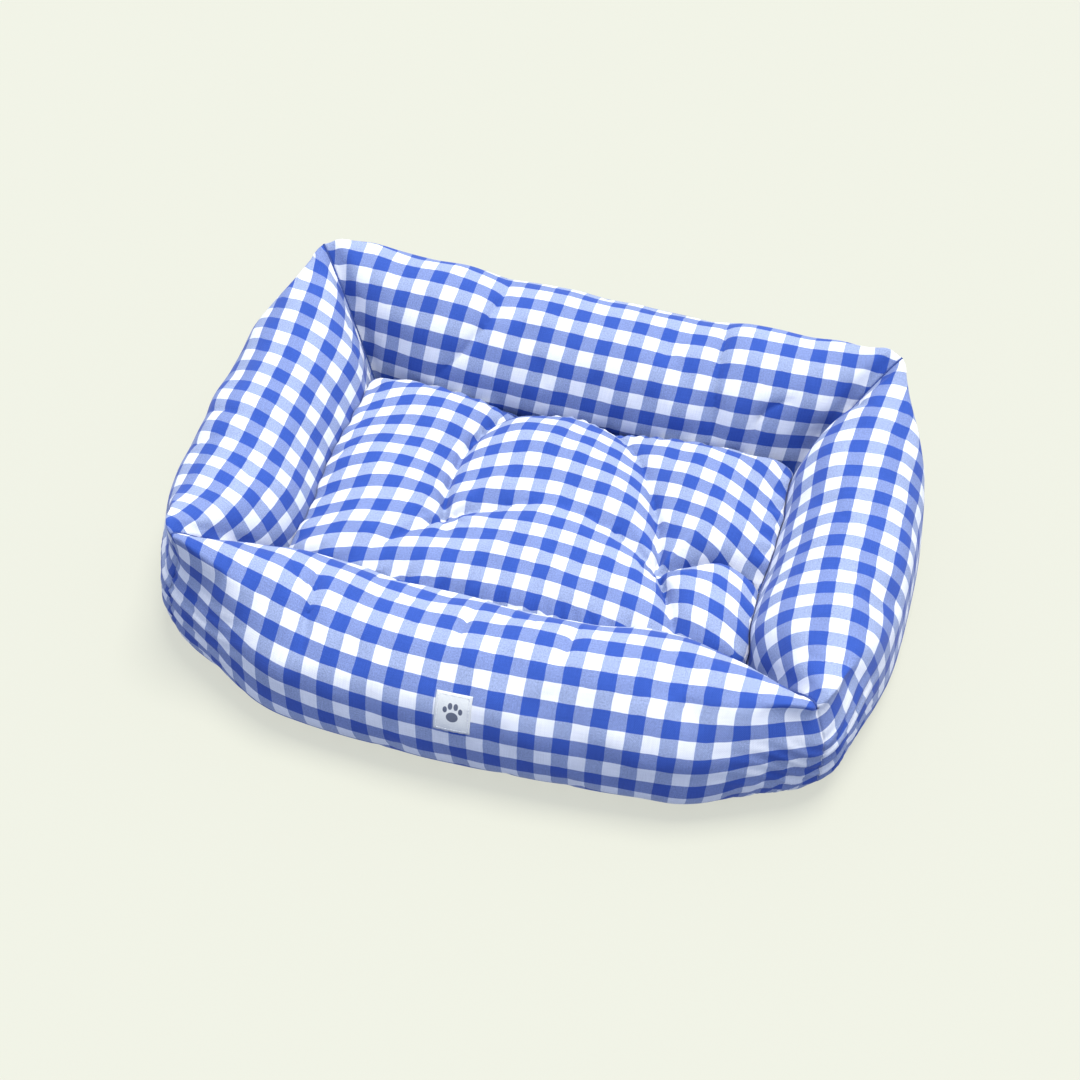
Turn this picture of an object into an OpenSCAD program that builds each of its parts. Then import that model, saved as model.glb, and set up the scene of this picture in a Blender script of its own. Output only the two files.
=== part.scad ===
// Rectangular pet bed: four stuffed bolsters round a nest, with a loose tufted cushion in it.
// The bolsters stand on a flat base and meet at sewn mitres that end in pinched, raised tips.
// +X runs along the long front, the front faces -Y, +Z is up, and the floor is at z = 0.

/* [Plan] */
// Distance between the two front corner tips
tip_span_x = 568; // [540:2:600]
// Distance between a front and a rear corner tip
tip_span_y = 406; // [390:2:430]
// How far the foot of each bolster stands out past the line between its tips, at mid-length
foot_bulge = 54; // [46:1:60]
// Part of that bulge that the whole bolster shares, inner side included
bow = 12; // [6:1:14]
// How far the foot stands out under a corner tip
corner_foot = 8; // [4:1:14]
// Radius of the footprint's corners
corner_radius = 49; // [36:1:60]

/* [Bolster section] */
// Length of the nearly upright outer wall
wall_run = 77; // [72:1:84]
// Lean of the outer wall from the floor, in degrees
wall_lean = 82; // [78:1:88]
// Radius from the outer wall to the crest
outer_radius = 45; // [42:1:50]
// Radius from the crest down the inner side
inner_radius = 65; // [58:1:70]
// Slope of the inner side, in degrees
inner_slope = 77; // [72:1:80]
// Height of the corner tips
tip_height = 134; // [126:1:140]
// Share of a bolster's half-length over which it narrows to its tip
taper_share = 0.49; // [0.4:0.01:0.6]

/* [Fabric and fill] */
// Thickness of the cotton covers with their lining
cover_thickness = 1.2; // [0.8:0.1:1.6]
// Thickness of the underside panel
underside_thickness = 2; // [1.5:0.1:2.5]
// Thickness of the wadding under the nest
wadding_thickness = 5; // [3:0.5:6]

/* [Cushion] */
// Length of the cushion over its edge seam
cushion_length = 412; // [396:2:414]
// Depth of the cushion over its edge seam
cushion_depth = 250; // [236:2:252]
// Height of the cushion's edge seam above the floor
cushion_edge_height = 38; // [34:1:42]
// Height of the cushion's crown above the floor
cushion_crown_height = 78; // [66:1:80]
// Distance between the two tufts
tuft_span = 198; // [180:2:210]
// How far the pair of tufts stands to the right of the middle
tuft_shift = 15; // [0:1:20]
// How far the pair of tufts stands in front of the middle
tuft_forward = 44; // [20:1:50]

/* [Label] */
// Width of the woven side label
label_width = 33; // [30:1:36]
// Height of the woven side label
label_height = 35; // [30:1:38]
// Distance of the label's middle from the middle of the front, to the left
label_offset = 18; // [0:1:40]

/* [Hidden] */

cotton_blue = "cornflowerblue";
fibre_white = "whitesmoke";
half_x = tip_span_x / 2;
half_y = tip_span_y / 2;
foot_z = underside_thickness;

// Gaps between pieces that lie face to face
mitre_gap = 0.4;
skin_gap = 0.3;
seam_half = 0.3;
seam_allowance = 7;
binding_width = 3;
floor_clearance = 0.4;

// ---- Section of a bolster: [outward, up] pairs from the foot outside to the foot inside ----
// Outward is counted from the line between the tips, and up from the bolster's foot.
wall_steps = 4;
outer_steps = 5;
inner_steps = 6;
slope_steps = 3;
wall_top = [-wall_run * cos(wall_lean), wall_run * sin(wall_lean)];
outer_centre = wall_top + outer_radius * [-sin(wall_lean), -cos(wall_lean)];
inner_centre = outer_centre + [0, outer_radius - inner_radius];
slope_top = inner_centre + inner_radius * [-sin(inner_slope), cos(inner_slope)];
inner_foot = [slope_top[0] - slope_top[1] / tan(inner_slope), 0];
section = concat(
    [for (i = [0:wall_steps - 1]) wall_top * i / wall_steps],
    [for (i = [0:outer_steps - 1]) let (a = wall_lean * (1 - i / outer_steps))
        outer_centre + outer_radius * [sin(a), cos(a)]],
    [for (i = [0:inner_steps - 1]) let (a = -inner_slope * i / inner_steps)
        inner_centre + inner_radius * [sin(a), cos(a)]],
    [for (i = [0:slope_steps]) slope_top + (inner_foot - slope_top) * i / slope_steps]);
last = len(section) - 1;
crest_index = wall_steps + outer_steps;

// Length along the section from the foot outside to point i
function run_to(i) = i == 0 ? 0 : run_to(i - 1) + norm(section[i] - section[i - 1]);
run = [for (i = [0:last]) run_to(i)];
tip_run = 0.8 * run[crest_index];

// Section at the mitre, where the bolster is drawn to its tip
function before_tip(i) = max(0, 1 - run[i] / tip_run);
function after_tip(i) = max(0, run[i] - tip_run) / (run[last] - tip_run);
mid_out = foot_bulge - bow;
inner_out = inner_foot[0] + mid_out;
tip_rise = tip_height - foot_z;
mitre = [for (i = [0:last]) run[i] < tip_run
    ? [corner_foot * pow(before_tip(i), 1.5), tip_rise * (1 - before_tip(i))]
    : [inner_out * after_tip(i), tip_rise * (1 - pow(after_tip(i), 1.2))]];

// ---- Surface of a bolster ----
function smooth(t) = t * t * (3 - 2 * t);
function taper(u) = smooth(max(0, (abs(u) - 1 + taper_share) / taper_share));
function round_at(i) = corner_radius * sqrt(before_tip(i));

// Point i of the section at u, from -1 at one mitre to 1 at the other: [along, outward, up]
function skin_point(half_len, half_off, u, i) =
    let (g = taper(u),
        out = (section[i][0] + mid_out) * (1 - g) + mitre[i][0] * g + bow * (1 - u * u),
        up = section[i][1] * (1 - g) + mitre[i][1] * g,
        r = round_at(i),
        straight = half_len + mitre[i][0] - r,
        t = abs(u) * (straight + r * PI / 4),
        turn = r > 0 ? max(0, t - straight) / r * 180 / PI : 0)
    [sign(u) * (min(t, straight) + r * sin(turn)), half_off + out - r * (1 - cos(turn)), foot_z + up];

// The same point moved into the bolster by depth, and kept clear of the mitre by gap
function inset_point(half_len, half_off, u, i, depth, gap) =
    let (p = skin_point(half_len, half_off, u, i),
        a = skin_point(half_len, half_off, u, max(0, i - 1)),
        b = skin_point(half_len, half_off, u, min(last, i + 1)),
        d = [b[1] - a[1], b[2] - a[2]] / norm([b[1] - a[1], b[2] - a[2]]),
        out = p[1] - (i == 0 || i == last ? sign(d[1]) : d[1]) * depth,
        up = i == 0 || i == last ? foot_z : max(foot_z, p[2] + d[0] * depth),
        reach = half_len + out - half_off - gap * sqrt(2))
    [sign(p[0]) * (abs(u) == 1 ? reach : min(abs(p[0]), reach)), out, up];

side_stations = 16;
stations = [for (k = [0:side_stations]) sin(90 * (2 * k / side_stations - 1))];

function skin_grid(half_len, half_off, depth, gap) =
    [for (u = stations) for (i = [0:last]) inset_point(half_len, half_off, u, i, depth, gap)];

// Two triangles between points a, b of one row and c, d of the next, facing out or facing in
function quad(a, b, c, d) = [[a, b, d], [a, d, c]];
function back_quad(a, b, c, d) = [[a, d, b], [a, c, d]];

// A sheet between an outer and an inner grid of rows by cols points
module sheet(outer, inner, rows, cols) {
    n = rows * cols;
    polyhedron(concat(outer, inner), [
        for (r = [0:rows - 2]) for (c = [0:cols - 2]) let (k = r * cols + c)
            each concat(back_quad(k, k + 1, k + cols, k + cols + 1),
                quad(n + k, n + k + 1, n + k + cols, n + k + cols + 1)),
        for (r = [0:rows - 2]) for (c = [0, cols - 1]) let (k = r * cols + c)
            each c == 0 ? quad(k, n + k, k + cols, n + k + cols)
                : quad(n + k, k, n + k + cols, k + cols),
        for (c = [0:cols - 2]) for (r = [0, rows - 1]) let (k = r * cols + c)
            each r == 0 ? quad(k, k + 1, n + k, n + k + 1)
                : quad(k + 1, k, n + k + 1, n + k)]);
}

// A solid bounded by one grid of rows by cols points, closed flat at its ends and underneath
module loft(grid, rows, cols) {
    polyhedron(grid, [
        for (r = [0:rows - 2]) for (c = [0:cols - 1])
            let (k = r * cols + c, m = r * cols + (c + 1) % cols)
            each back_quad(k, m, k + cols, m + cols),
        [for (c = [0:cols - 1]) c],
        [for (c = [cols - 1:-1:0]) (rows - 1) * cols + c]]);
}

// Places a bolster drawn along +X with its outside towards +Y: 0 rear, 1 left, 2 front, 3 right
module on_side(quarter) {
    rotate([0, 0, quarter * 90]) children();
}

module bolster_cover(half_len, half_off) {
    sheet(skin_grid(half_len, half_off, 0, mitre_gap),
        skin_grid(half_len, half_off, cover_thickness, mitre_gap),
        len(stations), last + 1);
}

module bolster_fill(half_len, half_off) {
    loft(skin_grid(half_len, half_off, cover_thickness + skin_gap, mitre_gap + skin_gap),
        len(stations), last + 1);
}

// Seam allowance of a mitre: a thin upright strip that follows the mitred section
module corner_seam(side_x, side_y) {
    edge = [for (i = [0:last]) let (p = skin_point(half_x, half_y, 1, i))
        [side_x * p[0], side_y * p[1], p[2]]];
    fold = [for (i = [0:last]) let (p = inset_point(half_x, half_y, 1, i, seam_allowance, 0))
        [side_x * p[0], side_y * p[1], p[2]]];
    shift = seam_half / sqrt(2) * [-side_y, side_x, 0];
    near = [for (i = [0:last]) each [edge[i] + shift, fold[i] + shift]];
    far = [for (i = [0:last]) each [edge[i] - shift, fold[i] - shift]];
    sheet(near, far, last + 1, 2);
}

// ---- Outlines round the bed ----
// Foot of the bolsters, point i of the section, all the way round, inset by a distance
function foot_side(half_len, half_off, i) =
    [for (k = [0:side_stations - 1]) let (p = skin_point(half_len, half_off, -stations[k], i)) [p[0], p[1]]];
function turned(list, c, s) = [for (p = list) [p[0] * c - p[1] * s, p[0] * s + p[1] * c]];
function foot_outline(i) = concat(
    foot_side(half_x, half_y, i),
    turned(foot_side(half_y, half_x, i), 0, 1),
    turned(foot_side(half_x, half_y, i), -1, 0),
    turned(foot_side(half_y, half_x, i), 0, -1));

// The outline drawn in towards the middle by a distance
function shrunk(list, by) = [for (p = list) p * (1 - by / norm(p))];

module base_lower_panel() {
    color("lightsteelblue")
    linear_extrude(underside_thickness) polygon(shrunk(foot_outline(0), binding_width + skin_gap));
}

module base_binding() {
    color("royalblue")
    translate([0, 0, skin_gap]) linear_extrude(underside_thickness - skin_gap) difference() {
        polygon(foot_outline(0));
        polygon(shrunk(foot_outline(0), binding_width));
    }
}

module base_wadding() {
    color(fibre_white)
    translate([0, 0, foot_z]) linear_extrude(wadding_thickness)
        polygon(shrunk(foot_outline(last), 2));
}

module base_upper_panel() {
    color(cotton_blue)
    translate([0, 0, foot_z + wadding_thickness]) linear_extrude(cover_thickness)
        polygon(shrunk(foot_outline(last), 2));
}

module front_bolster_cover() { color(cotton_blue) on_side(2) bolster_cover(half_x, half_y); }
module right_bolster_cover() { color(cotton_blue) on_side(3) bolster_cover(half_y, half_x); }
module rear_bolster_cover() { color(cotton_blue) on_side(0) bolster_cover(half_x, half_y); }
module left_bolster_cover() { color(cotton_blue) on_side(1) bolster_cover(half_y, half_x); }
module front_bolster_fill() { color(fibre_white) on_side(2) bolster_fill(half_x, half_y); }
module right_bolster_fill() { color(fibre_white) on_side(3) bolster_fill(half_y, half_x); }
module rear_bolster_fill() { color(fibre_white) on_side(0) bolster_fill(half_x, half_y); }
module left_bolster_fill() { color(fibre_white) on_side(1) bolster_fill(half_y, half_x); }
module front_right_corner_seam() { color("navy") corner_seam(1, -1); }
module rear_right_corner_seam() { color("navy") corner_seam(1, 1); }
module rear_left_corner_seam() { color("navy") corner_seam(-1, 1); }
module front_left_corner_seam() { color("navy") corner_seam(-1, -1); }

// ---- Label, sewn flat on the leaning outer wall of the front bolster ----
label_thickness = 0.8;
label_lift = 0.1;
label_margin = 2;
thread_radius = 0.4;
label_run = 0.78 * wall_run;

// Places a flat piece drawn in XY on the front's outer wall, facing out
module on_front_wall() {
    translate([-label_offset, -half_y - foot_bulge - label_lift, foot_z])
    rotate([wall_lean, 0, 0]) translate([0, label_run, 0]) children();
}

module side_label() {
    color("gainsboro")
    on_front_wall() translate([-label_width / 2, -label_height / 2, 0])
        cube([label_width, label_height, label_thickness]);
}

module label_stitching() {
    run_x = label_width - 2 * label_margin;
    run_y = label_height - 2 * label_margin;
    color("white")
    on_front_wall() translate([0, 0, label_thickness + thread_radius]) {
        for (s = [-1, 1]) {
            translate([-run_x / 2, s * run_y / 2, 0]) rotate([0, 90, 0]) cylinder(h = run_x, r = thread_radius, $fn = 16);
            translate([s * run_x / 2, -run_y / 2 + thread_radius, 0]) rotate([-90, 0, 0])
                cylinder(h = run_y - 2 * thread_radius, r = thread_radius, $fn = 16);
        }
    }
}

// ---- Cushion ----
cushion_x = cushion_length / 2;
cushion_y = cushion_depth / 2;
cushion_floor = foot_z + wadding_thickness + cover_thickness + floor_clearance;
tuft_radius = 42;
tuft_height = 34;
rim_power = 5;
rings = 8;
spokes = 48;

// Edge of the cushion: a rounded rectangle, as a superellipse
function rim(a) =
    let (c = cos(a), s = sin(a), k = pow(pow(abs(c), rim_power) + pow(abs(s), rim_power), -1 / rim_power))
    [cushion_x * c * k, cushion_y * s * k];
tufts = [for (s = [-1, 1]) [tuft_shift + s * tuft_span / 2, -tuft_forward]];
function tuft_pull(p) = max([for (t = tufts) exp(-pow(norm(p - t) / tuft_radius, 2))]);
function crown(q) = pow(1 - pow(q, 4), 0.75);
function top_z(p, q) = let (z = cushion_edge_height + (cushion_crown_height - cushion_edge_height) * crown(q))
    z - (z - tuft_height) * tuft_pull(p);
function bottom_z(q) =
    let (edge_z = cushion_edge_height - cover_thickness)
    edge_z - (edge_z - cushion_floor) * pow(1 - pow(q, 6), 0.5);

// Points of a cushion surface, ring by ring from the tufted middle to the rim
panel_scale = 0.992;
ring_steps = [for (r = [1:rings]) sin(90 * r / rings)];
function ring_points(count) = [for (r = [0:count - 1]) for (k = [0:spokes - 1])
    rim(360 * k / spokes) * ring_steps[r] * panel_scale];
function disc(points, heights) = concat(
    [[0, 0, heights[0]]],
    [for (j = [0:len(points) - 1]) [points[j][0], points[j][1], heights[j + 1]]]);
function top_heights(points, drop) = concat([top_z([0, 0], 0) - drop],
    [for (j = [0:len(points) - 1]) top_z(points[j], ring_steps[floor(j / spokes)]) - drop]);
function bottom_heights(points, rise) = concat([bottom_z(0) + rise],
    [for (j = [0:len(points) - 1]) bottom_z(ring_steps[floor(j / spokes)]) + rise]);

// A solid between an upper and a lower disc of the same plan
module between(upper, lower) {
    n = len(upper);
    rim_start = n - spokes;
    ring_count = (n - 1) / spokes;
    polyhedron(concat(upper, lower), [
        for (k = [0:spokes - 1]) let (m = (k + 1) % spokes) each [
            [0, 1 + m, 1 + k],
            [n, n + 1 + k, n + 1 + m]],
        for (r = [0:ring_count - 2]) for (k = [0:spokes - 1])
            let (a = 1 + r * spokes + k, b = 1 + r * spokes + (k + 1) % spokes)
            each concat(quad(a, b, a + spokes, b + spokes),
                back_quad(n + a, n + b, n + a + spokes, n + b + spokes)),
        for (k = [0:spokes - 1]) let (a = rim_start + k, b = rim_start + (k + 1) % spokes)
            each quad(a, b, n + a, n + b)]);
}

module cushion_top_panel() {
    plan = ring_points(rings);
    color(cotton_blue)
    between(disc(plan, top_heights(plan, -cover_thickness - skin_gap)), disc(plan, top_heights(plan, -skin_gap)));
}

module cushion_bottom_panel() {
    plan = ring_points(rings);
    color(cotton_blue)
    between(disc(plan, bottom_heights(plan, cover_thickness)), disc(plan, bottom_heights(plan, 0)));
}

module cushion_fill() {
    plan = ring_points(rings - 1);
    color(fibre_white)
    between(disc(plan, top_heights(plan, 0)), disc(plan, bottom_heights(plan, cover_thickness + skin_gap)));
}

module cushion_edge_seam() {
    cord = 1;
    ring_sides = 6;
    points = [for (k = [0:spokes - 1]) for (j = [0:ring_sides - 1])
        let (e = rim(360 * k / spokes), a = 360 * j / ring_sides)
        [e[0] * (1 + cord * cos(a) / norm(e)), e[1] * (1 + cord * cos(a) / norm(e)),
            cushion_edge_height + cord * sin(a)]];
    color("royalblue")
    polyhedron(points, [for (k = [0:spokes - 1]) for (j = [0:ring_sides - 1])
        let (m = (k + 1) % spokes, i = (j + 1) % ring_sides)
        each quad(k * ring_sides + j, k * ring_sides + i, m * ring_sides + j, m * ring_sides + i)]);
}

// Twisted thread through the cushion, with a short bar of stitches on the top
module tuft_tie(place) {
    tie_radius = 0.9;
    bar_length = 9;
    top = tuft_height + cover_thickness + skin_gap;
    color("white") translate([place[0], place[1], 0]) {
        translate([0, 0, cushion_floor]) cylinder(h = top - cushion_floor + tie_radius, r = tie_radius, $fn = 24);
        translate([-bar_length / 2, 0, top + 2 * tie_radius]) rotate([0, 90, 0])
            cylinder(h = bar_length, r = tie_radius, $fn = 24);
    }
}

module left_tuft_tie() { tuft_tie(tufts[0]); }
module right_tuft_tie() { tuft_tie(tufts[1]); }

base_lower_panel();
base_wadding();
base_upper_panel();
base_binding();
front_bolster_cover();
right_bolster_cover();
rear_bolster_cover();
left_bolster_cover();
front_bolster_fill();
right_bolster_fill();
rear_bolster_fill();
left_bolster_fill();
front_right_corner_seam();
rear_right_corner_seam();
rear_left_corner_seam();
front_left_corner_seam();
side_label();
label_stitching();
cushion_top_panel();
cushion_bottom_panel();
cushion_fill();
cushion_edge_seam();
left_tuft_tie();
right_tuft_tie();
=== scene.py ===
"""Looks of the gingham pet bed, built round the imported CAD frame.

Each soft piece is a grid of points that follows the frame's boxes, swells in a short cloth simulation,
gets its creases and puckers, and is flattened to find how the check lies on it.
Everything is in metres, in the frame's own axes: the front faces -Y and +Z is up.
"""

import math

import bpy
import numpy as np
from mathutils import Matrix, Vector
from mathutils.bvhtree import BVHTree


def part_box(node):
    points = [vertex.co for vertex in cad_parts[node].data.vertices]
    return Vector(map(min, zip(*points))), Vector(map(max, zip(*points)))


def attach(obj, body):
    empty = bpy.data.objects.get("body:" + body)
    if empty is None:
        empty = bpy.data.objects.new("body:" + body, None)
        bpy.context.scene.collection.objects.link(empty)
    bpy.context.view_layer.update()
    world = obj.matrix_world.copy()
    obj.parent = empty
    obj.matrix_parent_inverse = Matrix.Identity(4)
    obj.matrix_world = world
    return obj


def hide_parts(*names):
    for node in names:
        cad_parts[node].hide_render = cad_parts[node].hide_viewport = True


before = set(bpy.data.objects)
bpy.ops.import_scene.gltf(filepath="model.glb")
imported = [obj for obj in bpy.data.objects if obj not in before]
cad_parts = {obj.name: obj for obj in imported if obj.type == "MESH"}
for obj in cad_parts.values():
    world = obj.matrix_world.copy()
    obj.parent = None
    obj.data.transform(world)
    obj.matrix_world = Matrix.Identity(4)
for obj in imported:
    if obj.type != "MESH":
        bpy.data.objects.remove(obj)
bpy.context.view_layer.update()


# ---------------------------------------------------------------- sizes

TIP_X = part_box("front_right_corner_seam")[1].x
TIP_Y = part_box("rear_right_corner_seam")[1].y
FOOT_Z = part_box("front_bolster_cover")[0].z
NEST_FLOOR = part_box("base_upper_panel")[1].z

CHECK = 0.030            # one blue and one white stripe of the gingham

# Section of a bolster, from the floor outside to the nest floor inside
WALL_RUN = 0.077
WALL_LEAN = math.radians(82)
OUTER_RADIUS = 0.045
INNER_RADIUS = 0.065
INNER_SLOPE = math.radians(77)
INNER_RUN = 0.066
BOTTOM_ROLL = 0.014      # height over which the wall tucks under
BOTTOM_TUCK = 0.006      # how far it tucks
BELLY_RISE = 0.034       # height by which the belly is full
BELLY_TOP = 0.105        # the outer wall bellies out below this height
BELLY_FADE = 0.045
CORNER_FOOT = 0.008
TIP_SHARE = 0.8          # the tips are this share of the way up to the crest

SIDES = ("front", "right", "rear", "left")
ALONG = {"front": (1, 0), "right": (0, 1), "rear": (-1, 0), "left": (0, -1)}
BULGE = {"front": 0.062, "right": 0.053, "rear": 0.054, "left": 0.051}
BELLY = {"front": 0.019, "right": 0.003, "rear": 0.010, "left": 0.003}
# Share of a half length over which the roll narrows to a corner: for its first and its second corner,
# at the foot and at the crest
TAPER = {"front": ((0.45, 0.46), (0.40, 0.50)), "right": ((0.80, 0.34), (0.49, 0.44)),
         "rear": ((0.49, 0.36), (0.49, 0.36)), "left": ((0.49, 0.42), (0.58, 0.46))}
# Bow of the whole roll at mid-length, and how far the inner wall swells over the cushion
BOW = {"front": 0.018, "right": 0.012, "rear": 0.012, "left": 0.012}
INNER_BELLY = {"front": 0.003, "right": 0.004, "rear": 0.009, "left": 0.004}
# Sides and corners that the next four leave out have none
SWAY = {"front": -0.003}                                # foot further out at one end than the other
LIFT = {"right": 0.004, "rear": 0.010, "left": 0.003}   # crest stays high towards the corners
SAG = {"front": 0.008}                                  # dip of the crest
SAG_PLACE, SAG_WIDTH = -0.28, 0.26                      # in half lengths of the side, from its middle
EAR = {"front_left": 0.004}                             # rise of the crest beside the tip
# Each side runs from its first corner to its second, the way round as seen from above
CORNERS = {"front": ("front_left", "front_right"), "right": ("front_right", "rear_right"),
           "rear": ("rear_right", "rear_left"), "left": ("rear_left", "front_left")}
TIP_HEIGHT = {"front_left": 0.143, "front_right": 0.116, "rear_right": 0.136, "rear_left": 0.128}
CORNER_BELLY = {"front_left": 0.010, "front_right": 0.014, "rear_right": 0.004, "rear_left": 0.003}
FOOT_RADIUS = {"front_left": 0.046, "front_right": 0.040, "rear_right": 0.050, "rear_left": 0.049}


# ---------------------------------------------------------------- numeric helpers

def unit(v):
    return v / np.maximum(np.linalg.norm(v, axis=-1, keepdims=True), 1e-12)


def smooth(t):
    t = np.clip(t, 0, 1)
    return t * t * (3 - 2 * t)


def waves(points, length, seed):
    """A smooth random field of about unit size, made of plane waves of about one length."""
    count = 9
    rng = np.random.default_rng(seed)
    total = np.zeros(points.shape[:-1])
    for _ in range(count):
        direction = unit(rng.normal(size=points.shape[-1]))
        pitch = length * rng.uniform(0.7, 1.5)
        total += np.cos(points @ direction * (2 * math.pi / pitch) + rng.uniform(0, 2 * math.pi))
    return total * math.sqrt(2 / count)


def lumpy(points, lumps):
    """Lumps of a filling, from their lengths, heights and random seeds."""
    return sum(waves(points, length, seed) * height for length, height, seed in lumps)


def grid_normals(grid):
    """Outward normals of a grid whose rows run along a piece and whose columns run across it."""
    return unit(np.cross(np.gradient(grid, axis=0), np.gradient(grid, axis=1)))


def refine(grid):
    """The grid with a point put between each two, on a smooth curve through their neighbours."""
    for axis in (0, 1):
        g = np.moveaxis(grid, axis, 0)
        before = np.concatenate([2 * g[:1] - g[1:2], g[:-2]])
        after = np.concatenate([g[2:], 2 * g[-1:] - g[-2:-1]])
        middle = (9 * (g[:-1] + g[1:]) - before - after) / 16
        fine = np.empty((2 * len(g) - 1,) + g.shape[1:])
        fine[0::2], fine[1::2] = g, middle
        grid = np.moveaxis(fine, 0, axis)
    return grid


def path_distance(points, path):
    """Distance from each point to a polyline, and how far along the polyline its nearest point is, 0 to 1."""
    path = np.array(path, float)
    best = np.full(points.shape[:-1], np.inf)
    where = np.zeros(points.shape[:-1])
    lengths = np.linalg.norm(np.diff(path, axis=0), axis=1)
    starts = np.concatenate([[0], np.cumsum(lengths)])
    for k, (a, b) in enumerate(zip(path[:-1], path[1:])):
        t = np.clip((points - a) @ (b - a) / lengths[k] ** 2, 0, 1)
        d = np.linalg.norm(points - a - t[..., None] * (b - a), axis=-1)
        near = d < best
        best = np.where(near, d, best)
        where = np.where(near, (starts[k] + t * lengths[k]) / starts[-1], where)
    return best, where


def bowed(start, end, bow):
    """A curve from start to end whose middle stands off to the left of the straight line by bow."""
    start, end = np.array(start, float), np.array(end, float)
    t = np.linspace(0, 1, 9)[:, None]
    left = unit(np.array([start[1] - end[1], end[0] - start[0]]))
    return start + t * (end - start) + 4 * t * (1 - t) * bow * left


def crease(distance, width):
    """Profile of a crease between two rounded rolls: 1 on its line, and 0 at its width."""
    t = np.clip(distance / width, 0, 1)
    return 1 - np.sqrt(np.clip(1 - (1 - t) ** 2, 0, 1))


def quads(index, flip=False):
    """The faces between the points of a grid of vertex numbers."""
    a, b, c, d = index[:-1, :-1], index[1:, :-1], index[1:, 1:], index[:-1, 1:]
    return np.stack([a, d, c, b] if flip else [a, b, c, d], -1).reshape(-1, 4)


def rim_of(grid):
    """The points on the edge of a grid, as one closed loop."""
    return np.concatenate([grid[:-1, 0], grid[-1, :-1], grid[:0:-1, -1], grid[0, :0:-1]])


FLATTEN_ROUNDS = 40


def flatten(grid):
    """Lays a curved grid out flat with as little stretch as possible, as the cloth was before sewing.

    Returns a grid of (along, across) lengths. The rows' mean direction is the first axis.
    """
    n, m = grid.shape[:2]
    index = np.arange(n * m).reshape(n, m)
    cells = quads(index)
    tris = np.concatenate([cells[:, [0, 1, 2]], cells[:, [0, 2, 3]]])
    corner = grid.reshape(-1, 3)[tris]
    e1, e2 = corner[:, 1] - corner[:, 0], corner[:, 2] - corner[:, 0]
    l1 = np.linalg.norm(e1, axis=1)
    local = np.zeros((len(tris), 3, 2))
    local[:, 1, 0] = l1
    local[:, 2, 0] = (e1 * e2).sum(1) / l1
    local[:, 2, 1] = np.linalg.norm(np.cross(e1, e2), axis=1) / l1
    system = np.zeros((n * m, n * m))
    edges = []
    for k in range(3):
        i, j = (k + 1) % 3, (k + 2) % 3
        ei, ej = local[:, i] - local[:, k], local[:, j] - local[:, k]
        cross = np.abs(ei[:, 0] * ej[:, 1] - ei[:, 1] * ej[:, 0])
        weight = np.clip(0.5 * (ei * ej).sum(1) / np.maximum(cross, 1e-12), 0.02, 5)
        edges.append((i, j, weight))
        for p, q, sign in ((i, i, 1), (j, j, 1), (i, j, -1), (j, i, -1)):
            np.add.at(system, (tris[:, p], tris[:, q]), sign * weight)
    centre = index[n // 2, m // 2]
    system[centre, centre] += 1
    solve = np.linalg.inv(system)
    step_a = np.linalg.norm(np.diff(grid, axis=0), axis=2).mean(1)
    step_b = np.linalg.norm(np.diff(grid, axis=1), axis=2).mean(0)
    along = np.concatenate([[0], np.cumsum(step_a)])
    across = np.concatenate([[0], np.cumsum(step_b)])
    along -= along[n // 2]
    across -= across[m // 2]
    flat = np.stack(np.meshgrid(along, across, indexing="ij"), -1).reshape(-1, 2)
    for _ in range(FLATTEN_ROUNDS):
        f = flat[tris]
        cov = np.zeros((len(tris), 2, 2))
        for i, j, weight in edges:
            edge, laid = local[:, i] - local[:, j], f[:, i] - f[:, j]
            cov += weight[:, None, None] * edge[:, :, None] * laid[:, None, :]
        angle = np.arctan2(cov[:, 0, 1] - cov[:, 1, 0], cov[:, 0, 0] + cov[:, 1, 1])
        cos, sin = np.cos(angle), np.sin(angle)
        right = np.zeros_like(flat)
        for i, j, weight in edges:
            e = local[:, i] - local[:, j]
            turned = np.stack([cos * e[:, 0] - sin * e[:, 1], sin * e[:, 0] + cos * e[:, 1]], -1)
            turned *= weight[:, None]
            np.add.at(right, tris[:, i], turned)
            np.add.at(right, tris[:, j], -turned)
        flat = solve @ right
    flat = flat.reshape(n, m, 2)
    flat -= flat[n // 2, m // 2]
    third = n // 3
    slant = flat[-third, m // 2] - flat[third, m // 2]
    cos, sin = unit(slant)
    return np.stack([flat[..., 0] * cos + flat[..., 1] * sin, -flat[..., 0] * sin + flat[..., 1] * cos], -1)


# ---------------------------------------------------------------- bolster surface

def section(run):
    """Outward and upward places on a bolster's section, by length along it from the floor outside."""
    arc_a = OUTER_RADIUS * WALL_LEAN
    arc_b = INNER_RADIUS * INNER_SLOPE
    wall = np.clip(run, 0, WALL_RUN)
    turn_a = np.clip(run - WALL_RUN, 0, arc_a) / OUTER_RADIUS
    turn_b = np.clip(run - WALL_RUN - arc_a, 0, arc_b) / INNER_RADIUS
    rest = np.maximum(0, run - WALL_RUN - arc_a - arc_b)
    out = -wall * math.cos(WALL_LEAN)
    up = wall * math.sin(WALL_LEAN)
    out -= OUTER_RADIUS * (math.sin(WALL_LEAN) - np.sin(WALL_LEAN - turn_a))
    up += OUTER_RADIUS * (np.cos(WALL_LEAN - turn_a) - math.cos(WALL_LEAN))
    out -= INNER_RADIUS * np.sin(turn_b)
    up -= INNER_RADIUS * (1 - np.cos(turn_b))
    out -= rest * math.cos(INNER_SLOPE)
    up -= rest * math.sin(INNER_SLOPE)
    return out, up


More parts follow.
